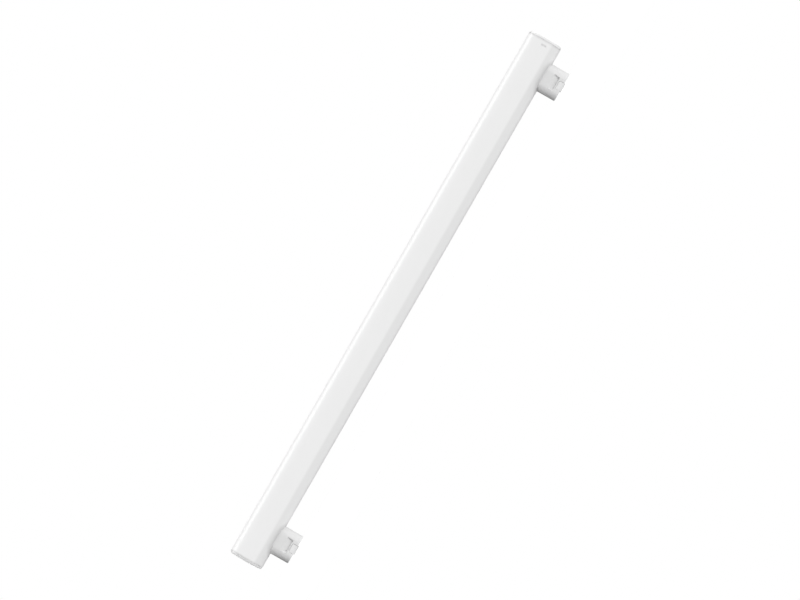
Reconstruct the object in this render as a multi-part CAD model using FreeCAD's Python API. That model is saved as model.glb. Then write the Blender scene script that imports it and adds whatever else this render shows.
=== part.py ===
import FreeCAD, Part
import math
import os

# A tubular lamp for two side-contact holders. A closed white tube carries a plug-in
# post near each end, and both posts point the same way, square to the tube.
#
# The row's frame, in millimetres: X runs along the tube, with its middle at the
# origin. The posts point down, -Z, and the lamp stands on their contacts at z = 0.
# The light leaves on the side away from the posts and to both sides, +Z and +-Y.

# Tube
LAMP_LENGTH = 500.0
TUBE_DIAMETER = 30.0
TUBE_WALL = 1.5
TUBE_EDGE_CHAMFER = 0.25

# End caps, which plug into the tube. The rim outside it is crowned: its slope grows
# from the seam to the flat end, in bands.
CAP_RIM = 2.1
CAP_CROWN_START_DEG = 8.0
CAP_CROWN_END_DEG = 32.0
CAP_CROWN_BANDS = 3
CAP_EDGE_CHAMFER = 0.3
CAP_SEAM_CHAMFER = 0.25
CAP_SPIGOT_LENGTH = 9.0
CAP_SPIGOT_WALL = 1.6
CAP_LEAD_IN = 0.6
CAP_FIT = 0.1
CAP_BOTTOM_GAP = 0.8

# Snap tongue of each cap, which catches in a window of the tube. The angle is taken
# round the tube, from the side that the posts are on.
LATCH_FROM_END = 6.0
LATCH_ANGLE = 86.0
WINDOW_LENGTH = 1.2
WINDOW_WIDTH = 4.6
LATCH_FIT = 0.1
LATCH_SUNK = 0.15
LATCH_LEAD_IN = 0.25
TONGUE_SLIT = 0.9
TONGUE_ROOT = 1.2

# Posts, oval in section
POST_FROM_END = 28.4
POST_LENGTH = 25.9
POST_THICKNESS = 14.4
POST_PROJECTION = 16.6
POST_DRAFT_DEG = 0.3
POST_EDGE_CHAMFER = 0.5
POST_SEAT = 3.6
POST_FIT = 0.25

# Catches for the holder's springs, one in each flat of a post
CATCH_FROM_END = 5.6
CATCH_RAMP = 5.3
CATCH_DEPTH = 1.7
CATCH_WIDTH = 12.8
CATCH_WALL_DEG = 50.0
CATCH_CORNER_RADIUS = 0.5

# Contacts, a bent strip over the end of each post
CONTACT_THICKNESS = 0.5
CONTACT_BEND = 0.8
CONTACT_FIT = 0.1
CHANNEL_WIDTH = 7.7
CHANNEL_DEPTH = 1.0
CHANNEL_LENGTH = 4.6
LAND_HEIGHT = 0.4
HOOK_DEPTH = 1.6

# Places that follow from the sizes
TUBE_RADIUS = TUBE_DIAMETER / 2
BORE_RADIUS = TUBE_RADIUS - TUBE_WALL
TUBE_END_X = LAMP_LENGTH / 2 - CAP_RIM
POST_END_Z = CONTACT_THICKNESS + LAND_HEIGHT
TUBE_BOTTOM_Z = POST_END_Z + POST_PROJECTION
AXIS_Z = TUBE_BOTTOM_Z + TUBE_RADIUS
POST_FOOT_Z = TUBE_BOTTOM_Z + POST_SEAT
POST_X = LAMP_LENGTH / 2 - POST_FROM_END
CHANNEL_TOP_Z = POST_END_Z + CHANNEL_LENGTH
LATCH_X = LAMP_LENGTH / 2 - LATCH_FROM_END

# How far a cutter runs past the surface that it opens, and how near counts as the same
PAST = 1.0
NEAR = 1e-6

X_AXIS = FreeCAD.Vector(1, 0, 0)
Z_AXIS = FreeCAD.Vector(0, 0, 1)
AXIS_POINT = FreeCAD.Vector(0, 0, AXIS_Z)


def block(x_range, y_range, z_range):
    """A box given by its two ends along each axis."""
    x0, x1 = x_range
    y0, y1 = y_range
    z0, z1 = z_range
    return Part.makeBox(x1 - x0, y1 - y0, z1 - z0, FreeCAD.Vector(x0, y0, z0))


def turned(points):
    """Revolve (x, radius) points about the tube's axis."""
    wire = Part.makePolygon([FreeCAD.Vector(x, 0, AXIS_Z + radius) for x, radius in points + points[:1]])
    return Part.Face(wire).revolve(AXIS_POINT, X_AXIS, 360)


def oval_wire(length, width, z):
    """A slot-shaped outline with round ends, long along X, centred on the Z axis."""
    radius = width / 2
    reach = length / 2 - radius
    corners = [FreeCAD.Vector(x, y, z) for x, y in
               ((-reach, -radius), (reach, -radius), (reach, radius), (-reach, radius))]
    right = Part.Arc(corners[1], FreeCAD.Vector(reach + radius, 0, z), corners[2])
    left = Part.Arc(corners[3], FreeCAD.Vector(-reach - radius, 0, z), corners[0])
    return Part.Wire([
        Part.makeLine(corners[0], corners[1]),
        right.toShape(),
        Part.makeLine(corners[2], corners[3]),
        left.toShape(),
    ])


def oval_prism(length, width, z_low, z_high):
    """A straight slot-shaped block."""
    face = Part.Face(oval_wire(length, width, z_low))
    return face.extrude(Z_AXIS * (z_high - z_low))


def edges_at(shape, test):
    """The edges whose every vertex passes the test."""
    return [edge for edge in shape.Edges if all(test(vertex.Point) for vertex in edge.Vertexes)]


def draft_at(z):
    """How far the post's side has drawn in at a height, from its size at the tube."""
    return (TUBE_BOTTOM_Z - z) * math.tan(math.radians(POST_DRAFT_DEG))


def flat_y(z):
    """Half the post's thickness at a height."""
    return POST_THICKNESS / 2 - draft_at(z)


def at_latch(shape):
    """Turn a shape made at the tube's lowest line round to the latch's angle."""
    shape.rotate(AXIS_POINT, X_AXIS, -LATCH_ANGLE)
    return shape


def end_for_end(shape):
    """A copy for the lamp's other end, turned half a turn about the Z axis."""
    copy = shape.copy()
    copy.rotate(FreeCAD.Vector(0, 0, 0), Z_AXIS, 180)
    return copy


# The window and tongue are drawn at the tube's lowest line, then turned to their place
def latch_window():
    return at_latch(block(
        (LATCH_X - WINDOW_LENGTH / 2, LATCH_X + WINDOW_LENGTH / 2),
        (-WINDOW_WIDTH / 2, WINDOW_WIDTH / 2),
        (AXIS_Z - TUBE_RADIUS - PAST, AXIS_Z - BORE_RADIUS + PAST),
    ))


def latch_tooth():
    """A barb that is steep towards the cap's rim and slopes towards the spigot's tip."""
    steep_x = LATCH_X + WINDOW_LENGTH / 2 - LATCH_FIT
    toe_x = LATCH_X - WINDOW_LENGTH / 2 + LATCH_FIT
    tip_z = AXIS_Z - TUBE_RADIUS + LATCH_SUNK
    spigot_z = AXIS_Z - BORE_RADIUS + CAP_FIT
    root_z = spigot_z + CAP_SPIGOT_WALL / 2
    outline = [(steep_x, root_z), (steep_x, tip_z), (toe_x + LATCH_LEAD_IN, tip_z),
               (toe_x, spigot_z), (toe_x, root_z)]
    half = WINDOW_WIDTH / 2 - LATCH_FIT
    wire = Part.makePolygon([FreeCAD.Vector(x, -half, z) for x, z in outline + outline[:1]])
    return at_latch(Part.Face(wire).extrude(FreeCAD.Vector(0, 2 * half, 0)))


def tongue_slit(side):
    """The slit in the spigot beside the tongue, open at the spigot's tip."""
    inner = side * WINDOW_WIDTH / 2
    outer = inner + side * TONGUE_SLIT
    return at_latch(block(
        (TUBE_END_X - CAP_SPIGOT_LENGTH - PAST, TUBE_END_X - TONGUE_ROOT),
        (min(inner, outer), max(inner, outer)),
        (AXIS_Z - TUBE_RADIUS, AXIS_Z - BORE_RADIUS + CAP_FIT + CAP_SPIGOT_WALL + PAST),
    ))


def rim_crown(start_x, start_radius, end_x):
    """Points of the rim's outline, an arc that falls away from the tube's outside."""
    first = math.radians(CAP_CROWN_START_DEG)
    last = math.radians(CAP_CROWN_END_DEG)
    sweep = (end_x - start_x) / (math.sin(last) - math.sin(first))
    slopes = [first + (last - first) * band / CAP_CROWN_BANDS for band in range(CAP_CROWN_BANDS + 1)]
    return [(start_x + sweep * (math.sin(slope) - math.sin(first)),
             start_radius - sweep * (math.cos(first) - math.cos(slope)))
            for slope in slopes]


def end_cap():
    spigot_outer = BORE_RADIUS - CAP_FIT
    spigot_inner = spigot_outer - CAP_SPIGOT_WALL
    tip_x = TUBE_END_X - CAP_SPIGOT_LENGTH
    rim_x = TUBE_END_X + CAP_RIM
    crown = rim_crown(TUBE_END_X + CAP_SEAM_CHAMFER, TUBE_RADIUS, rim_x - CAP_EDGE_CHAMFER)
    cap = turned([
        (tip_x, spigot_inner),
        (tip_x, spigot_outer - CAP_LEAD_IN),
        (tip_x + CAP_LEAD_IN, spigot_outer),
        (TUBE_END_X, spigot_outer),
        (TUBE_END_X, TUBE_RADIUS - CAP_SEAM_CHAMFER),
        *crown,
        (rim_x, crown[-1][1] - CAP_EDGE_CHAMFER),
        (rim_x, 0),
        (TUBE_END_X, 0),
        (TUBE_END_X, spigot_inner),
    ])
    cap = cap.fuse(latch_tooth())
    for side in (-1, 1):
        cap = cap.cut(tongue_slit(side))
    return cap.removeSplitter()


def light_tube():
    """The tube, closed and never opened, so it is solid between its fitted ends."""
    inset = TUBE_EDGE_CHAMFER
    tube = turned([
        (-TUBE_END_X, 0),
        (-TUBE_END_X, TUBE_RADIUS - inset),
        (-TUBE_END_X + inset, TUBE_RADIUS),
        (TUBE_END_X - inset, TUBE_RADIUS),
        (TUBE_END_X, TUBE_RADIUS - inset),
        (TUBE_END_X, 0),
    ])
    bore_depth = CAP_SPIGOT_LENGTH + CAP_BOTTOM_GAP
    bore = Part.makeCylinder(
        BORE_RADIUS, bore_depth + PAST,
        FreeCAD.Vector(TUBE_END_X - bore_depth, 0, AXIS_Z), X_AXIS)
    pocket = oval_prism(
        POST_LENGTH + 2 * POST_FIT, POST_THICKNESS + 2 * POST_FIT,
        TUBE_BOTTOM_Z - PAST, POST_FOOT_Z)
    pocket.translate(X_AXIS * POST_X)
    for opening in (bore, pocket, latch_window()):
        tube = tube.cut(opening).cut(end_for_end(opening))
    return tube.removeSplitter()


def contact_core(half_width, z_low, z_high, bend):
    """A block across the post, as wide as the channel, with rounded lower edges."""
    core = block(
        (-CHANNEL_WIDTH / 2, CHANNEL_WIDTH / 2),
        (-half_width, half_width), (z_low, z_high))
    lower = edges_at(core, lambda point: abs(point.z - z_low) < NEAR)
    along_x = [edge for edge in lower if edge.BoundBox.XLength > edge.BoundBox.YLength]
    return core.makeFillet(bend, along_x)


def core_half_width():
    """From the post's middle to the floor of a channel."""
    return flat_y(POST_END_Z) - CHANNEL_DEPTH


def hook_z_range():
    """Heights between which the contact's hook lies, at the top of its channel."""
    high = CHANNEL_TOP_Z - CONTACT_FIT
    return high - CONTACT_THICKNESS, high


def catch_cutter(side):
    """The wedge cut into one flat: a long ramp that ends in a square step, between
    sloping end walls."""
    step_z = POST_END_Z + CATCH_FROM_END
    ramp_z = step_z + CATCH_RAMP
    outline = [
        (flat_y(ramp_z), ramp_z),
        (flat_y(step_z) - CATCH_DEPTH, step_z),
        (flat_y(step_z) + PAST, step_z),
        (flat_y(ramp_z) + PAST, ramp_z),
    ]
    slope = math.tan(math.radians(CATCH_WALL_DEG))
    half_deep = CATCH_WIDTH / 2 - CATCH_DEPTH * slope
    half_out = CATCH_WIDTH / 2 + PAST * slope
    wire = Part.makePolygon([FreeCAD.Vector(-half_out, side * y, z) for y, z in outline + outline[:1]])
    wedge = Part.Face(wire).extrude(X_AXIS * 2 * half_out)
    y_deep = flat_y(step_z) - CATCH_DEPTH
    y_out = flat_y(step_z) + PAST
    section = [(-half_deep, y_deep), (half_deep, y_deep), (half_out, y_out), (-half_out, y_out)]
    wire = Part.makePolygon([FreeCAD.Vector(x, side * y, step_z) for x, y in section + section[:1]])
    wedge = wedge.common(Part.Face(wire).extrude(Z_AXIS * CATCH_RAMP))
    step_corners = [
        edge for edge in edges_at(wedge, lambda point: abs(point.z - step_z) < NEAR)
        if edge.BoundBox.YLength > CATCH_DEPTH / 2
    ]
    return wedge.makeFillet(CATCH_CORNER_RADIUS, step_corners)


def post():
    """The oval post: a straight foot in the tube, and a drafted body outside it."""
    shrink = 2 * draft_at(POST_END_Z)
    body = Part.makeLoft([
        oval_wire(POST_LENGTH, POST_THICKNESS, TUBE_BOTTOM_Z),
        oval_wire(POST_LENGTH - shrink, POST_THICKNESS - shrink, POST_END_Z),
    ], True, True)
    body = body.makeChamfer(
        POST_EDGE_CHAMFER, edges_at(body, lambda point: abs(point.z - POST_END_Z) < NEAR))
    body = body.fuse(oval_prism(POST_LENGTH, POST_THICKNESS, TUBE_BOTTOM_Z, POST_FOOT_Z))

    # The band that the contact wraps is cleared down to a core, which stands a little
    # proud of the post's end
    body = body.cut(block(
        (-CHANNEL_WIDTH / 2, CHANNEL_WIDTH / 2),
        (-POST_THICKNESS, POST_THICKNESS),
        (POST_END_Z - PAST, CHANNEL_TOP_Z)))
    core = contact_core(core_half_width(), CONTACT_THICKNESS, CHANNEL_TOP_Z, CONTACT_BEND)
    hook_low, _ = hook_z_range()
    for side in (-1, 1):
        inner = side * (core_half_width() - HOOK_DEPTH - CONTACT_FIT)
        outer = side * (core_half_width() + PAST)
        core = core.cut(block(
            (-CHANNEL_WIDTH / 2, CHANNEL_WIDTH / 2),
            (min(inner, outer), max(inner, outer)),
            (hook_low - CONTACT_FIT, CHANNEL_TOP_Z)))
    body = body.fuse(core)
    for side in (-1, 1):
        body = body.cut(catch_cutter(side))
    body = body.removeSplitter()
    body.translate(X_AXIS * POST_X)
    return body


def contact():
    """The strip: a web across the post's end, two legs and a hook on each leg's tip."""
    inner_half = core_half_width() + CONTACT_FIT / 2
    outer_half = inner_half + CONTACT_THICKNESS
    hook_low, hook_high = hook_z_range()
    strip = contact_core(outer_half, 0, hook_high, CONTACT_BEND + CONTACT_THICKNESS)
    strip = strip.cut(contact_core(
        inner_half, CONTACT_THICKNESS, hook_high + PAST, CONTACT_BEND))
    half = CHANNEL_WIDTH / 2
    for side in (-1, 1):
        tip = side * (core_half_width() - HOOK_DEPTH)
        root = side * (inner_half + CONTACT_THICKNESS / 2)
        strip = strip.fuse(block((-half, half), (min(tip, root), max(tip, root)), (hook_low, hook_high)))
    narrowed = block(
        (-half + CONTACT_FIT, half - CONTACT_FIT),
        (-outer_half - PAST, outer_half + PAST), (-PAST, hook_high + PAST))
    strip = strip.common(narrowed).removeSplitter()
    strip.translate(X_AXIS * POST_X)
    return strip


def main():
    os.makedirs("parts", exist_ok=True)
    shapes = {"light_tube": light_tube()}
    for name, make in (("end_cap", end_cap), ("post", post), ("contact", contact)):
        right = make()
        shapes[name + "_right"] = right
        shapes[name + "_left"] = end_for_end(right)
    for name, shape in shapes.items():
        if not shape.isValid() or len(shape.Solids) != 1:
            raise ValueError(name + " is not one valid solid")
        shape.Solids[0].exportStep("parts/" + name + ".step")
        print(name, round(shape.Volume, 2))


main()
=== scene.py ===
import bpy
import bmesh
import math
from mathutils import Matrix, Vector


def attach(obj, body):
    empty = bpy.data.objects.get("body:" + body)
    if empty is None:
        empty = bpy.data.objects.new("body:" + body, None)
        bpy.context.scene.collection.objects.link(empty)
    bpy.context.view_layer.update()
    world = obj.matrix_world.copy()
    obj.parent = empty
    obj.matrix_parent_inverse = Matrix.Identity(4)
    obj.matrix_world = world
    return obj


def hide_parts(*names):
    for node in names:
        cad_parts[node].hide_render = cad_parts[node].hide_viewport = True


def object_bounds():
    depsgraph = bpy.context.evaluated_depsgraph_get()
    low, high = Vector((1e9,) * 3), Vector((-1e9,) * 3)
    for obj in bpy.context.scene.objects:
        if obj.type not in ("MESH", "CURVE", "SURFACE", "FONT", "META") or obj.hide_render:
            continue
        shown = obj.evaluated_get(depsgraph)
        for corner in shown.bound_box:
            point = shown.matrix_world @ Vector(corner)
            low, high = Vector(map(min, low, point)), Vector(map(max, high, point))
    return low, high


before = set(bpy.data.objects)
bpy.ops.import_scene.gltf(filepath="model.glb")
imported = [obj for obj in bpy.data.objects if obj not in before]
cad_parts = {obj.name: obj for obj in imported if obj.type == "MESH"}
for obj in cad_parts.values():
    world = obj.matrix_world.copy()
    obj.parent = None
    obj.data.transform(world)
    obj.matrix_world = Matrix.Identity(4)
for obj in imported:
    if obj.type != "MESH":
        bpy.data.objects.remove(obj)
cad_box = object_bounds()

MM = 0.001

# The lamp's sizes, from the frame
LAMP_LENGTH = cad_box[1].x - cad_box[0].x
TUBE_RADIUS = (cad_box[1].y - cad_box[0].y) / 2
AXIS_Z = cad_box[1].z - TUBE_RADIUS

# The same sizes as in the part's source
TUBE_WALL = 1.5 * MM
EDGE_INSET = 0.25 * MM
CAP_RIM = 2.1 * MM
CAP_CROWN_START = math.radians(8)
CAP_CROWN_END = math.radians(32)
CAP_EDGE = 0.3 * MM
SPIGOT_LENGTH = 9 * MM
SPIGOT_WALL = 1.6 * MM
SPIGOT_LEAD_IN = 0.6 * MM
CAP_FIT = 0.1 * MM
BORE_PAST_SPIGOT = 0.8 * MM
LATCH_FROM_END = 6.0 * MM
LATCH_ANGLE = math.radians(86)
WINDOW_LENGTH = 1.2 * MM
WINDOW_WIDTH = 4.6 * MM
LATCH_SUNK = 0.15 * MM
POST_FROM_END = 28.4 * MM
POST_LENGTH = 25.9 * MM
POST_THICKNESS = 14.4 * MM
POST_SEAT = 3.6 * MM
POST_FIT = 0.25 * MM
POST_PROJECTION = 16.6 * MM
CATCH_FROM_END = 5.6 * MM
CATCH_RAMP = 5.3 * MM
CATCH_WIDTH = 12.8 * MM

# The snap tooth fills its window more closely than in the source, where its clearance is
# 0.1 mm and its lead-in 0.25 mm. Wider gaps drew the latch's mark too dark, and of the
# four pairs tried this one came nearest to the photo's mark, though it is still darker
LATCH_FIT = 0.02 * MM
LATCH_LEAD_IN = 0.1 * MM

# How near counts as the same height
NEAR = 0.05 * MM

BORE_RADIUS = TUBE_RADIUS - TUBE_WALL
BORE_DEPTH = SPIGOT_LENGTH + BORE_PAST_SPIGOT
TUBE_END_X = LAMP_LENGTH / 2 - CAP_RIM
TUBE_BOTTOM_Z = AXIS_Z - TUBE_RADIUS
POST_X = LAMP_LENGTH / 2 - POST_FROM_END
LATCH_X = LAMP_LENGTH / 2 - LATCH_FROM_END
WINDOW_XS = (LATCH_X - WINDOW_LENGTH / 2, LATCH_X + WINDOW_LENGTH / 2)
POST_REACH = (POST_LENGTH - POST_THICKNESS) / 2
CATCH_LOW_Z = TUBE_BOTTOM_Z - POST_PROJECTION + CATCH_FROM_END - NEAR
CATCH_TOP_Z = CATCH_LOW_Z + CATCH_RAMP + 2 * NEAR

# How finely the turned forms are divided, and how much of the tube round a post's
# pocket is a patch of its own
STATIONS = 192
CROWN_BANDS = 12
PATCH_STATIONS = 48
PATCH_REACH = 18 * MM
PATCH_STEPS = 40
PATCH_XS = [PATCH_REACH * (2 * step / PATCH_STEPS - 1) for step in range(PATCH_STEPS + 1)]
PATCH_RINGS = (0, 0.06, 0.15, 0.3, 0.5, 0.75, 1)
TUBE_RING_XS = (40 * MM, 80 * MM, 120 * MM, 160 * MM)

# Points this near are joined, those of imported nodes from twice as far. Angles this near
# are the same, and packed triangles that turn by less than the last angle are one face
WELD = 0.001 * MM
PACKED_WELD = 2 * WELD
SAME_ANGLE = 1e-4
FLAT_WITHIN = math.radians(0.5)

# Edges that turn by more than the first angle are rounded, and those between the two
# angles stay as a crisp line
ROUND_FROM = math.radians(30)
CRISP_FROM = math.radians(14)

# Edge rounding of each piece, and the number of its steps
ROUND_SEGMENTS = 3
TUBE_ROUND = 0.1 * MM
CAP_ROUND = 0.1 * MM
POST_ROUND = 0.2 * MM
CONTACT_ROUND = 0.1 * MM

# The picture's size, and where the two ends of the tube's axis are in it
PICTURE = Vector((800, 600))
LOW_END_PX = Vector((245.63, 560.59))
HIGH_END_PX = Vector((546.03, 39.15))

# Camera
LENS = 300
SENSOR = 36
EYE_HEIGHT = 0.0005
CLIP_END = 100

WHITE = (1, 1, 1, 1)

# Room light: its level, the direction along the tube that it is strongest from, how
# far it spreads, and how it varies round the tube from the direction FLAT_ANGLE
ROOM_LEVEL = 1.79
ROOM_SIDE = 0.32
ROOM_SPREAD = 0.585
FLAT_ANGLE = math.radians(12)
ROUND_ONCE = 0.064
ROUND_TWICE = 0.075

# Keeps the room light's angle round the tube from a division by zero
LEAST_SQUARE = 0.0001

# How white the room looks in gloss from behind the lamp, below and above it
GLOSS_BELOW = 0.12
GLOSS_ABOVE = 0.78

# Between which directions the gloss turns from the white in front to that behind, and
# from that below to that above
GLOSS_BACK = (0.3, 0.65)
GLOSS_UP = (-0.4, 0.4)

# Strip light behind and above, seen only as a gloss line along the tube
STRIP_ANGLE = math.radians(108)
STRIP_DISTANCE = 1.5
STRIP_SIZE = (3.0, 0.42)
STRIP_POWER = 28

# Narrow lamp that lights the end face on the -X side, which the room leaves dark
END_LAMP_DISTANCE = 0.1
END_LAMP_SPREAD = math.radians(4)
END_LAMP_POWER = 0.001

# Floor
FLOOR_REACH = 6.0
FLOOR_COLOR = (0.8, 0.8, 0.8, 1)
FLOOR_GLOW = 0.26

# Where the white front of the tube turns into its greyer back, in angles from the front,
# and the greys of both
ZONE_START = math.radians(23)
ZONE_END = math.radians(34.5)
FRONT_GREY = 0.86
BACK_GREY = 0.77

# Painted soft shade on the tube where it meets a post
FOOT_SHADE = 0.78
FOOT_SHADE_REACH = 6 * MM

# How far the painted shade of the seam between tube and cap reaches, onto each of them
SEAM_ON_TUBE = 2.0 * MM
SEAM_ON_CAP = 0.3 * MM
SEAM_SHADE = 0.88

# Painted shade on a catch's side walls: its distance from the post's middle and its factor, each
# at the top of the ramp and at the step, the factor on the side that faces the light, and
# how far it reaches from the wall and past the catch's side. It fades out over the last
# height, just below the ramp's top and just below the step
CATCH_SHADE_AT = (6.1 * MM, 5.2 * MM)
CATCH_SHADE = (0.78, 0.88)
CATCH_SHADE_LIT = 0.96
CATCH_SHADE_REACH = 1.5 * MM
CATCH_SHADE_PAST = 0.6 * MM
CATCH_SHADE_FADE = CATCH_RAMP / 8

# The tube's roughness and gloss, and its noise: cells to the metre, stretch per axis, and
# swing or depth
LINE_CELLS = 900
LINE_STRETCH = (0.004, 1, 1)
LINE_SWING = 0.006
MOTTLE_CELLS = 45
MOTTLE_SWING = 0.008
OPAL_SHEEN_CELLS = 160
OPAL_ROUGHNESS = 0.34
OPAL_ROUGHNESS_SWING = 0.04
OPAL_GLOSS = 0.25
RIPPLE_CELLS = 1500
RIPPLE_STRETCH = (0.01, 1, 1)
RIPPLE_DEPTH = 0.004 * MM

# The caps' and the posts' plastic: grey, roughness and gloss, then the noise of both
CAP_PLASTIC = (0.75, 0.42, 0.25)
POST_PLASTIC = (0.74, 0.45, 0.3)
TONE_CELLS = 120
TONE_SWING = 0.008
PLASTIC_SHEEN_CELLS = 700
PLASTIC_ROUGHNESS_SWING = 0.06
GRAIN_CELLS = 4500
GRAIN_DEPTH = 0.012 * MM

# The contacts' metal and its brushing, and how far up from its lowest end it is darker, and by how
# much
METAL_GREY = 0.77
METAL_SWING = 0.07
METAL_ROUGHNESS = 0.32
METAL_ROUGHNESS_SWING = 0.1
BRUSH_CELLS = 6000
BRUSH_STRETCH = (1, 0.02, 0.02)
BRUSH_DEPTH = 0.006 * MM
TIP_DARK_HEIGHT = 3 * MM
TIP_DARKENING = 0.92


def round_point(x, angle, radius):
    """A point of the tube, its angle taken from the posts' side towards the front."""
    return Vector((x, -radius * math.sin(angle), AXIS_Z - radius * math.cos(angle)))


def add_grid(bm, rows, closed=False, skip=lambda row, column: False):
    """Faces between rows of points that all have the same count."""
    points = [[bm.verts.new(point) for point in row] for row in rows]
    width = len(rows[0])
    for row in range(len(rows) - 1):
        for column in range(width if closed else width - 1):
            if skip(row, column):
                continue
            after = (column + 1) % width
            low, high = points[row], points[row + 1]
            bm.faces.new((low[column], low[after], high[after], high[column]))


def add_disc(bm, row):
    bm.faces.new([bm.verts.new(point) for point in row])


def window_half(radius):
    """Half a latch window's angle, which is wider at the bore because its sides are square."""
    return math.asin(WINDOW_WIDTH / 2 / radius)


def stations(radius):
    """Angles round the tube, with those next to a latch window moved to its edges."""
    angles = [2 * math.pi * step / STATIONS - math.pi for step in range(STATIONS)]
    for side in (-1, 1):
        for end in (-1, 1):
            outside = side * (LATCH_ANGLE + end * window_half(TUBE_RADIUS))
            nearest = min(range(STATIONS), key=lambda index: abs(angles[index] - outside))
            angles[nearest] = side * (LATCH_ANGLE + end * window_half(radius))
    return angles


def sector(angles, limit, centre=0):
    """The stations within an angle of the centre."""
    return [angle for angle in angles if abs(angle - centre) < limit + SAME_ANGLE]


def add_pocket(bm, side, across):
    """The tube's surface round one post's pocket, and the pocket's wall and floor."""
    centre = Vector((side * POST_X, 0, 0))
    edge_y = TUBE_RADIUS * math.sin(across[-1])
    ys = [-TUBE_RADIUS * math.sin(angle) for angle in across]
    border = [Vector((x, edge_y)) for x in PATCH_XS[:-1]]
    border += [Vector((PATCH_REACH, y)) for y in ys[:-1]]
    border += [Vector((-x, -edge_y)) for x in PATCH_XS[:-1]]
    border += [Vector((-PATCH_REACH, -y)) for y in ys[:-1]]
    rim = []
    for point in border:
        spine = Vector((max(-POST_REACH, min(POST_REACH, point.x)), 0))
        rim.append(spine + (point - spine).normalized() * (POST_THICKNESS / 2 + POST_FIT))

    def on_tube(point):
        drop = math.sqrt(TUBE_RADIUS ** 2 - point.y ** 2)
        return centre + Vector((point.x, point.y, AXIS_Z - drop))

    rows = [[on_tube(start.lerp(end, share)) for start, end in zip(rim, border)]
            for share in PATCH_RINGS]
    add_grid(bm, rows, closed=True)
    floor = [Vector((point.x, point.y, TUBE_BOTTOM_Z + POST_SEAT)) for point in rows[0]]
    add_grid(bm, [rows[0], floor], closed=True)
    add_disc(bm, floor)


def window_stations(side, radius):
    """The stations of one latch window, its edges included."""
    return sector(stations(radius), window_half(radius), side * LATCH_ANGLE)


def add_window(bm, side):
    """The walls of one latch window, from the tube's surface to its bore."""
    low, high = side * WINDOW_XS[0], side * WINDOW_XS[1]
    loops = []
    for radius in (TUBE_RADIUS, BORE_RADIUS):
        around = window_stations(side, radius)
        loop = [round_point(low, angle, radius) for angle in around]
        loop += [round_point(high, angle, radius) for angle in reversed(around)]
        loops.append(loop)
    add_grid(bm, loops, closed=True)


def tube_mesh():
    """The tube, with a bore at each end, the posts' pockets and the latch windows."""
    angles = stations(TUBE_RADIUS)
    across = sector(angles, math.pi * PATCH_STATIONS / STATIONS)
    windows = {side: window_stations(side, TUBE_RADIUS) for side in (-1, 1)}
    patch_xs = [POST_X + x for x in PATCH_XS]
    places = [*TUBE_RING_XS, *patch_xs, *WINDOW_XS, TUBE_END_X - EDGE_INSET]
    xs = [-x for x in reversed(places)] + [0] + places
    bm = bmesh.new()

    def in_window(x, angle):
        around = windows[math.copysign(1, x)]
        return WINDOW_XS[0] < abs(x) < WINDOW_XS[1] and around[0] < angle < around[-1]

    def outside_open(row, column):
        x = (xs[row] + xs[row + 1]) / 2
        angle = angles[column] + math.pi / STATIONS
        in_patch = abs(abs(x) - POST_X) < PATCH_REACH and abs(angle) < across[-1]
        return in_patch or in_window(x, angle)

    outside = [[round_point(x, angle, TUBE_RADIUS) for angle in angles] for x in xs]
    add_grid(bm, outside, closed=True, skip=outside_open)
    for side in (-1, 1):
        rim = ((TUBE_END_X - EDGE_INSET, TUBE_RADIUS), (TUBE_END_X, TUBE_RADIUS - EDGE_INSET))
        rows = [[round_point(side * x, angle, radius) for angle in angles] for x, radius in rim]
        bore_xs = [side * x for x in (TUBE_END_X, *reversed(WINDOW_XS), TUBE_END_X - BORE_DEPTH)]
        bore = [[round_point(x, angle, BORE_RADIUS) for angle in stations(BORE_RADIUS)]
                for x in bore_xs]

        def bore_open(row, column):
            x = (bore_xs[row] + bore_xs[row + 1]) / 2
            return in_window(x, angles[column] + math.pi / STATIONS)

        add_grid(bm, rows + bore[:1], closed=True)
        add_grid(bm, bore, closed=True, skip=bore_open)
        add_disc(bm, bore[-1])
        add_pocket(bm, side, across)
        add_window(bm, side)
    return finished(bm, "tube")


def crown_profile():
    """The cap's rim outside the tube: a seam chamfer, a crown and a rounded edge."""
    start_x = TUBE_END_X + EDGE_INSET
    end_x = TUBE_END_X + CAP_RIM - CAP_EDGE
    sweep = (end_x - start_x) / (math.sin(CAP_CROWN_END) - math.sin(CAP_CROWN_START))
    points = [(TUBE_END_X, TUBE_RADIUS - EDGE_INSET)]
    for band in range(CROWN_BANDS + 1):
        slope = CAP_CROWN_START + (CAP_CROWN_END - CAP_CROWN_START) * band / CROWN_BANDS
        points.append((start_x + sweep * (math.sin(slope) - math.sin(CAP_CROWN_START)),
                       TUBE_RADIUS - sweep * (math.cos(CAP_CROWN_START) - math.cos(slope))))
    points.append((TUBE_END_X + CAP_RIM, points[-1][1] - CAP_EDGE))
    return points


def add_tooth(bm, side):
    """The snap tooth, steep towards the rim and sloping towards the spigot's tip."""
    steep_x = LATCH_X + WINDOW_LENGTH / 2 - LATCH_FIT
    toe_x = LATCH_X - WINDOW_LENGTH / 2 + LATCH_FIT
    tip = TUBE_RADIUS - LATCH_SUNK
    foot = BORE_RADIUS - CAP_FIT
    root = foot - SPIGOT_WALL / 2
    outline = [(steep_x, root), (steep_x, tip), (toe_x + LATCH_LEAD_IN, tip), (toe_x, foot),
               (toe_x, root)]
    half = WINDOW_WIDTH / 2 - LATCH_FIT
    turn = Matrix.Rotation(-side * LATCH_ANGLE, 3, "X")
    axis = Vector((0, 0, AXIS_Z))
    rows = [[turn @ Vector((side * x, y, -depth)) + axis for x, depth in outline]
            for y in (-half, half)]
    add_grid(bm, rows, closed=True)
    for row in rows:
        add_disc(bm, row)


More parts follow.
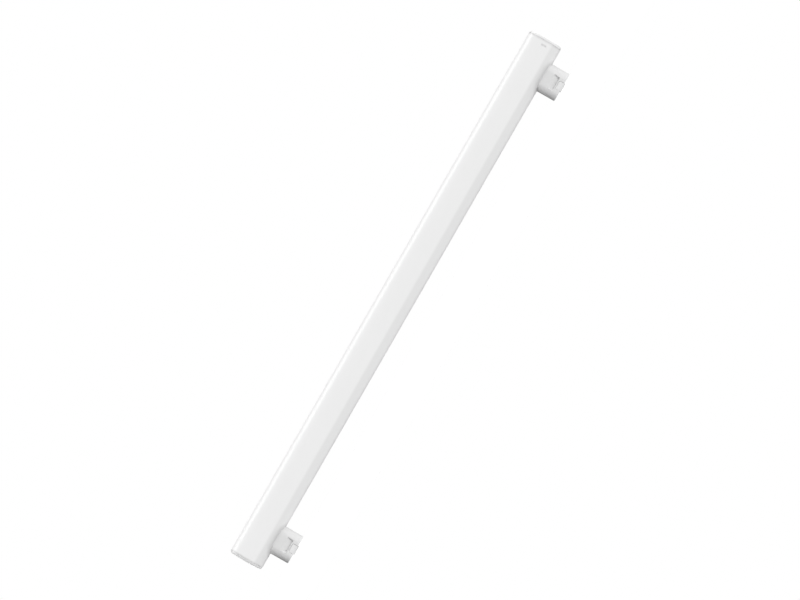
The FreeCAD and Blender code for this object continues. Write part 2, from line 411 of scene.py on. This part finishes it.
def cap_mesh(side):
    """One end cap: its rim, the spigot in the bore and the snap tooth in the window."""
    outer = BORE_RADIUS - CAP_FIT
    inner = outer - SPIGOT_WALL
    tip_x = TUBE_END_X - SPIGOT_LENGTH
    profile = [(TUBE_END_X, inner), (tip_x, inner), (tip_x, outer - SPIGOT_LEAD_IN),
               (tip_x + SPIGOT_LEAD_IN, outer), (TUBE_END_X, outer), *crown_profile()]
    angles = [2 * math.pi * step / STATIONS for step in range(STATIONS)]
    bm = bmesh.new()
    rows = [[round_point(side * x, angle, radius) for angle in angles] for x, radius in profile]
    add_grid(bm, rows, closed=True)
    add_disc(bm, rows[0])
    add_disc(bm, rows[-1])
    add_tooth(bm, side)
    return finished(bm, "cap")


def mark_edges(bm):
    """Weights the edges to round. Those of a catch stay crisp, because its walls taper to
    nothing and a rounding there would run past them."""
    weight = bm.edges.layers.float.new("bevel_weight_edge")
    for edge in bm.edges:
        turn = edge.calc_face_angle(0)
        in_catch = any(CATCH_LOW_Z < vert.co.z < CATCH_TOP_Z for vert in edge.verts)
        rounded = turn > ROUND_FROM and not in_catch
        edge[weight] = float(rounded)
        edge.smooth = rounded or turn < CRISP_FROM


def finished(bm, name):
    """Joins what meets, turns the faces outwards and makes the mesh."""
    bmesh.ops.remove_doubles(bm, verts=bm.verts, dist=WELD)
    bmesh.ops.recalc_face_normals(bm, faces=bm.faces)
    mark_edges(bm)
    mesh = bpy.data.meshes.new(name)
    bm.to_mesh(mesh)
    bm.free()
    return mesh


def packed_mesh(node):
    """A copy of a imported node, its triangles joined into the faces they came from."""
    bm = bmesh.new()
    bm.from_mesh(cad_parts[node].data)
    bmesh.ops.remove_doubles(bm, verts=bm.verts, dist=PACKED_WELD)
    bmesh.ops.dissolve_limit(bm, angle_limit=FLAT_WITHIN, verts=bm.verts, edges=bm.edges)
    return finished(bm, node)


def add_piece(name, mesh, rounding, material, node):
    """Puts a piece in the scene in place of its node, with its sharp edges rounded."""
    mesh.materials.clear()
    mesh.materials.append(material)
    mesh.polygons.foreach_set("use_smooth", [True] * len(mesh.polygons))
    piece = bpy.data.objects.new(name, mesh)
    bpy.context.scene.collection.objects.link(piece)
    bevel = piece.modifiers.new("rounding", "BEVEL")
    bevel.width = rounding
    bevel.segments = ROUND_SEGMENTS
    bevel.limit_method = "WEIGHT"
    bevel.use_clamp_overlap = False
    bevel.harden_normals = True
    if mesh.name.startswith(("post", "contact")):
        flat = piece.modifiers.new("flats", "WEIGHTED_NORMAL")
        flat.keep_sharp = True
    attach(piece, "root")
    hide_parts(node)


def make_lamp():
    """All seven pieces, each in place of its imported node."""
    opal = opal_material()
    cap = plastic_material("cap plastic", *CAP_PLASTIC)
    moulded = plastic_material("post plastic", *POST_PLASTIC)
    metal = metal_material()
    add_piece("tube_shell", tube_mesh(), TUBE_ROUND, opal, "light_tube")
    for side, end in ((-1, "left"), (1, "right")):
        add_piece("cap_turned_" + end, cap_mesh(side), CAP_ROUND, cap,
                  "end_cap_" + end)
        add_piece("post_moulding_" + end, packed_mesh("post_" + end), POST_ROUND, moulded,
                  "post_" + end)
        add_piece("contact_strip_" + end, packed_mesh("contact_" + end), CONTACT_ROUND, metal,
                  "contact_" + end)


class Nodes:
    """A node tree that is filled from its inputs to its output."""

    def __init__(self, owner):
        owner.use_nodes = True
        self.tree = owner.node_tree
        self.tree.nodes.clear()

    def connect(self, socket, value):
        if isinstance(value, bpy.types.NodeSocket):
            self.tree.links.new(value, socket)
        else:
            socket.default_value = value

    def add(self, kind, inputs, **settings):
        node = self.tree.nodes.new(kind)
        for name, value in settings.items():
            setattr(node, name, value)
        for key, value in inputs.items():
            self.connect(node.inputs[key], value)
        return node

    def math(self, operation, *values):
        inputs = dict(enumerate(values))
        return self.add("ShaderNodeMath", inputs, operation=operation).outputs[0]

    def ramp(self, value, low, high, start, end):
        """A smooth change from start to end while the value goes from low to high."""
        inputs = {"Value": value, "From Min": low, "From Max": high, "To Min": start, "To Max": end}
        node = self.add("ShaderNodeMapRange", inputs, interpolation_type="SMOOTHSTEP")
        return node.outputs["Result"]

    def place(self):
        """The point's coordinates in the lamp's frame."""
        return self.add("ShaderNodeTexCoord", {}).outputs["Object"]

    def noise(self, scale, stretch=(1, 1, 1), detail=3):
        """Noise about 0.5, with a number of cells to the metre and a stretch per axis."""
        mapped = self.add("ShaderNodeMapping", {"Vector": self.place(), "Scale": stretch}).outputs[0]
        inputs = {"Vector": mapped, "Scale": scale, "Detail": detail}
        return self.add("ShaderNodeTexNoise", inputs).outputs["Fac"]

    def about(self, value, middle, swing):
        """Noise as a value that swings about its middle."""
        return self.math("MULTIPLY_ADD", self.math("SUBTRACT", value, 0.5), 2 * swing, middle)

    def bump(self, height, depth):
        inputs = {"Height": height, "Distance": depth, "Strength": 1.0}
        return self.add("ShaderNodeBump", inputs).outputs[0]

    def seam_shade(self, x):
        """Painted shade, darker towards the groove between the tube and its caps."""
        past = self.math("SUBTRACT", self.math("ABSOLUTE", x), TUBE_END_X)
        on_tube = self.ramp(past, -SEAM_ON_TUBE, 0.0, 1.0, SEAM_SHADE)
        on_cap = self.ramp(past, 0.0, SEAM_ON_CAP, 0.0, 1.0)
        return self.math("MAXIMUM", on_tube, on_cap)

    def catch_shade(self, x, z):
        """Darker on the side walls of the catches, above all on the one that faces away
        from the stronger light."""
        middle = self.math("MULTIPLY", self.math("SIGN", x), POST_X)
        off = self.math("SUBTRACT", x, middle)
        wall = self.ramp(z, CATCH_LOW_Z, CATCH_TOP_Z, CATCH_SHADE_AT[1], CATCH_SHADE_AT[0])
        away = self.math("ABSOLUTE", self.math("SUBTRACT", self.math("ABSOLUTE", off), wall))
        dark = self.ramp(z, CATCH_LOW_Z, CATCH_TOP_Z, CATCH_SHADE[1], CATCH_SHADE[0])
        unlit = self.math("GREATER_THAN", off, 0.0)
        least = self.math("MAXIMUM", dark, self.math("SUBTRACT", CATCH_SHADE_LIT, unlit))
        inside = self.ramp(away, 0.0, CATCH_SHADE_REACH, least, 1.0)
        past = self.math("SUBTRACT", self.math("ABSOLUTE", off), CATCH_WIDTH / 2)
        beside = self.math("MAXIMUM", inside, self.ramp(past, 0.0, CATCH_SHADE_PAST, 0.0, 1.0))
        above = self.ramp(z, CATCH_TOP_Z - CATCH_SHADE_FADE, CATCH_TOP_Z, 0.0, 1.0)
        below = self.ramp(z, CATCH_LOW_Z - CATCH_SHADE_FADE, CATCH_LOW_Z, 1.0, 0.0)
        return self.math("MAXIMUM", beside, self.math("MAXIMUM", above, below))

    def grey(self, value):
        return self.add("ShaderNodeCombineColor", {0: value, 1: value, 2: value}).outputs[0]


def opal_material():
    """White in front and greyer on the posts' side, with the faint lines of extrusion."""
    material = bpy.data.materials.new("opal tube")
    n = Nodes(material)
    x, y, z = n.add("ShaderNodeSeparateXYZ", {"Vector": n.place()}).outputs
    zone_low = AXIS_Z - TUBE_RADIUS * math.sin(ZONE_END)
    zone_high = AXIS_Z - TUBE_RADIUS * math.sin(ZONE_START)
    zone = n.ramp(z, zone_low, zone_high, BACK_GREY, FRONT_GREY)
    # The distance from the middle line of the post's oval
    beside = n.math("ABSOLUTE", n.math("SUBTRACT", n.math("ABSOLUTE", x), POST_X))
    past = n.math("MAXIMUM", n.math("SUBTRACT", beside, POST_REACH), 0.0)
    away = n.math("SQRT", n.math("ADD", n.math("MULTIPLY", past, past), n.math("MULTIPLY", y, y)))
    # Painted shade round the foot of each post, fading out towards the tube's axis
    foot = n.ramp(away, POST_THICKNESS / 2, POST_THICKNESS / 2 + FOOT_SHADE_REACH,
                  FOOT_SHADE, 1.0)
    below = n.ramp(z, AXIS_Z - TUBE_RADIUS / 2, AXIS_Z, 0.0, 1.0)
    shade = n.math("MAXIMUM", foot, below)
    lines = n.about(n.noise(LINE_CELLS, LINE_STRETCH), 1.0, LINE_SWING)
    mottle = n.about(n.noise(MOTTLE_CELLS), 1.0, MOTTLE_SWING)
    level = n.math("MULTIPLY", n.math("MULTIPLY", zone, shade), n.math("MULTIPLY", lines, mottle))
    # Painted shade towards the seam with each cap
    level = n.math("MULTIPLY", level, n.seam_shade(x))
    shader = n.add("ShaderNodeBsdfPrincipled", {
        "Base Color": n.grey(level),
        "Roughness": n.about(n.noise(OPAL_SHEEN_CELLS), OPAL_ROUGHNESS, OPAL_ROUGHNESS_SWING),
        "Specular IOR Level": OPAL_GLOSS,
        "Normal": n.bump(n.noise(RIPPLE_CELLS, RIPPLE_STRETCH), RIPPLE_DEPTH),
    })
    n.add("ShaderNodeOutputMaterial", {"Surface": shader.outputs[0]})
    return material


def plastic_material(name, level, roughness, gloss):
    """Moulded white plastic with a fine spark-eroded grain."""
    material = bpy.data.materials.new(name)
    n = Nodes(material)
    split = n.add("ShaderNodeSeparateXYZ", {"Vector": n.place()})
    x, z = split.outputs[0], split.outputs[2]
    # Painted shade at the seam with the tube and on the catches' side walls
    shade = n.math("MULTIPLY", n.seam_shade(x), n.catch_shade(x, z))
    tone = n.math("MULTIPLY", n.about(n.noise(TONE_CELLS), level, TONE_SWING), shade)
    shader = n.add("ShaderNodeBsdfPrincipled", {
        "Base Color": n.grey(tone),
        "Roughness": n.about(n.noise(PLASTIC_SHEEN_CELLS), roughness, PLASTIC_ROUGHNESS_SWING),
        "Specular IOR Level": gloss,
        "Normal": n.bump(n.noise(GRAIN_CELLS), GRAIN_DEPTH),
    })
    n.add("ShaderNodeOutputMaterial", {"Surface": shader.outputs[0]})
    return material


def metal_material():
    """Nickel-plated strip, brushed across the post."""
    material = bpy.data.materials.new("contact metal")
    n = Nodes(material)
    brushed = n.noise(BRUSH_CELLS, BRUSH_STRETCH)
    z = n.add("ShaderNodeSeparateXYZ", {"Vector": n.place()}).outputs[2]
    # Darker towards its lowest end, at the end of the post
    tip_dark = n.ramp(z, 0.0, TIP_DARK_HEIGHT, TIP_DARKENING, 1.0)
    level = n.math("MULTIPLY", n.about(brushed, METAL_GREY, METAL_SWING), tip_dark)
    shader = n.add("ShaderNodeBsdfPrincipled", {
        "Base Color": n.grey(level),
        "Metallic": 1.0,
        "Roughness": n.about(brushed, METAL_ROUGHNESS, METAL_ROUGHNESS_SWING),
        "Normal": n.bump(brushed, BRUSH_DEPTH),
    })
    n.add("ShaderNodeOutputMaterial", {"Surface": shader.outputs[0]})
    return material


def make_world():
    """Soft light from all round, strongest from a little to +X. The camera sees plain white,
    and so does gloss, except behind the lamp."""
    world = bpy.data.worlds.new("studio")
    bpy.context.scene.world = world
    n = Nodes(world)
    direction = n.add("ShaderNodeTexCoord", {}).outputs["Generated"]
    inputs = {"Vector": direction, "Rotation": (-FLAT_ANGLE, 0, 0)}
    turned = n.add("ShaderNodeMapping", inputs, vector_type="POINT").outputs[0]
    x, y, z = n.add("ShaderNodeSeparateXYZ", {"Vector": turned}).outputs
    away = n.math("DIVIDE", n.math("SUBTRACT", x, ROOM_SIDE), ROOM_SPREAD)
    along = n.math("EXPONENT", n.math("MULTIPLY", n.math("MULTIPLY", away, away), -1.0))
    square = n.math("SUBTRACT", 1.0, n.math("MULTIPLY", x, x))
    reach = n.math("SQRT", n.math("MAXIMUM", square, LEAST_SQUARE))
    sine = n.math("DIVIDE", z, reach)
    cosine = n.math("DIVIDE", y, reach)
    once = n.math("MULTIPLY_ADD", sine, ROUND_ONCE, 1.0)
    around = n.math("MULTIPLY_ADD", n.math("MULTIPLY", sine, cosine), 2 * ROUND_TWICE, once)
    strength = n.math("MULTIPLY", n.math("MULTIPLY", along, around), ROOM_LEVEL)
    path = n.add("ShaderNodeLightPath", {})
    seen = n.math("MAXIMUM", path.outputs["Is Camera Ray"], path.outputs["Is Glossy Ray"])
    seen = n.math("MAXIMUM", seen, path.outputs["Is Transmission Ray"])
    soft = n.add("ShaderNodeBackground", {"Color": WHITE, "Strength": strength})
    behind = n.ramp(z, *GLOSS_UP, GLOSS_BELOW, GLOSS_ABOVE)
    glossy = n.ramp(y, *GLOSS_BACK, 1.0, behind)
    plain = n.math("MAXIMUM", glossy, path.outputs["Is Camera Ray"])
    white = n.add("ShaderNodeBackground", {"Color": WHITE, "Strength": plain})
    mix = n.add("ShaderNodeMixShader", {0: seen, 1: soft.outputs[0], 2: white.outputs[0]})
    n.add("ShaderNodeOutputWorld", {"Surface": mix.outputs[0]})


def make_strip():
    """The strip light that draws the gloss line along the tube."""
    data = bpy.data.lights.new("strip", "AREA")
    data.shape = "RECTANGLE"
    data.size, data.size_y = STRIP_SIZE
    data.energy = STRIP_POWER
    strip = bpy.data.objects.new("strip", data)
    bpy.context.scene.collection.objects.link(strip)
    strip.location = (0, -STRIP_DISTANCE * math.cos(STRIP_ANGLE),
                      AXIS_Z + STRIP_DISTANCE * math.sin(STRIP_ANGLE))
    strip.rotation_euler = (math.pi / 2 - STRIP_ANGLE, 0, 0)
    strip.visible_diffuse = False
    strip.visible_camera = False


def make_end_lamp():
    """Its beam is as wide as the tube, so that it reaches the end face and little else."""
    data = bpy.data.lights.new("end lamp", "AREA")
    data.shape = "DISK"
    data.size = 2 * TUBE_RADIUS
    data.spread = END_LAMP_SPREAD
    data.energy = END_LAMP_POWER
    lamp = bpy.data.objects.new("end lamp", data)
    bpy.context.scene.collection.objects.link(lamp)
    lamp.location = (-LAMP_LENGTH / 2 - END_LAMP_DISTANCE, 0, AXIS_Z)
    lamp.rotation_euler = (0, -math.pi / 2, 0)
    lamp.visible_glossy = False
    lamp.visible_camera = False


def make_floor():
    """A white floor that takes the lamp's shadow and is clear when seen from below."""
    corners = [(x * FLOOR_REACH, y * FLOOR_REACH, 0) for x, y in ((-1, -1), (1, -1), (1, 1), (-1, 1))]
    mesh = bpy.data.meshes.new("floor")
    mesh.from_pydata(corners, [], [(0, 1, 2, 3)])
    floor = bpy.data.objects.new("floor", mesh)
    bpy.context.scene.collection.objects.link(floor)
    material = bpy.data.materials.new("floor")
    n = Nodes(material)
    seen = n.add("ShaderNodeLightPath", {}).outputs["Is Camera Ray"]
    cloth = n.add("ShaderNodeBsdfDiffuse", {"Color": FLOOR_COLOR})
    glow = n.add("ShaderNodeEmission", {"Strength": n.math("MULTIPLY", seen, FLOOR_GLOW)})
    both = n.add("ShaderNodeAddShader", {0: cloth.outputs[0], 1: glow.outputs[0]})
    clear = n.add("ShaderNodeBsdfTransparent", {})
    back = n.add("ShaderNodeNewGeometry", {}).outputs["Backfacing"]
    mix = n.add("ShaderNodeMixShader", {0: back, 1: both.outputs[0], 2: clear.outputs[0]})
    n.add("ShaderNodeOutputMaterial", {"Surface": mix.outputs[0]})
    mesh.materials.append(material)
    floor.visible_diffuse = False
    floor.visible_glossy = False
    floor.visible_shadow = False


def make_camera():
    """A long lens in front of the lamp, level with the floor, turned so that the tube slopes."""
    along = HIGH_END_PX - LOW_END_PX
    scale = along.length / LAMP_LENGTH
    distance = LENS / SENSOR * PICTURE.x / scale
    slope = math.atan2(-along.y, along.x)
    # Where the picture's middle falls, seen from the tube's middle, along and across the tube
    off = PICTURE / 2 - (LOW_END_PX + HIGH_END_PX) / 2
    off = Vector((off.x, -off.y)) / scale
    aim = Vector((off.x * math.cos(slope) + off.y * math.sin(slope), 0,
                  AXIS_Z - off.x * math.sin(slope) + off.y * math.cos(slope)))
    eye = Vector((aim.x, 0, EYE_HEIGHT))
    eye.y = -math.sqrt(distance ** 2 - (aim.z - eye.z) ** 2)
    data = bpy.data.cameras.new("camera")
    data.lens = LENS
    data.sensor_width = SENSOR
    data.clip_end = CLIP_END
    camera = bpy.data.objects.new("camera", data)
    bpy.context.scene.collection.objects.link(camera)
    look = (aim - eye).to_track_quat("-Z", "Y").to_matrix().to_4x4()
    camera.matrix_world = Matrix.Translation(eye) @ look @ Matrix.Rotation(-slope, 4, "Z")
    bpy.context.scene.camera = camera


make_lamp()
make_world()
make_strip()
make_end_lamp()
make_floor()
make_camera()
bpy.context.scene.view_settings.view_transform = "Standard"
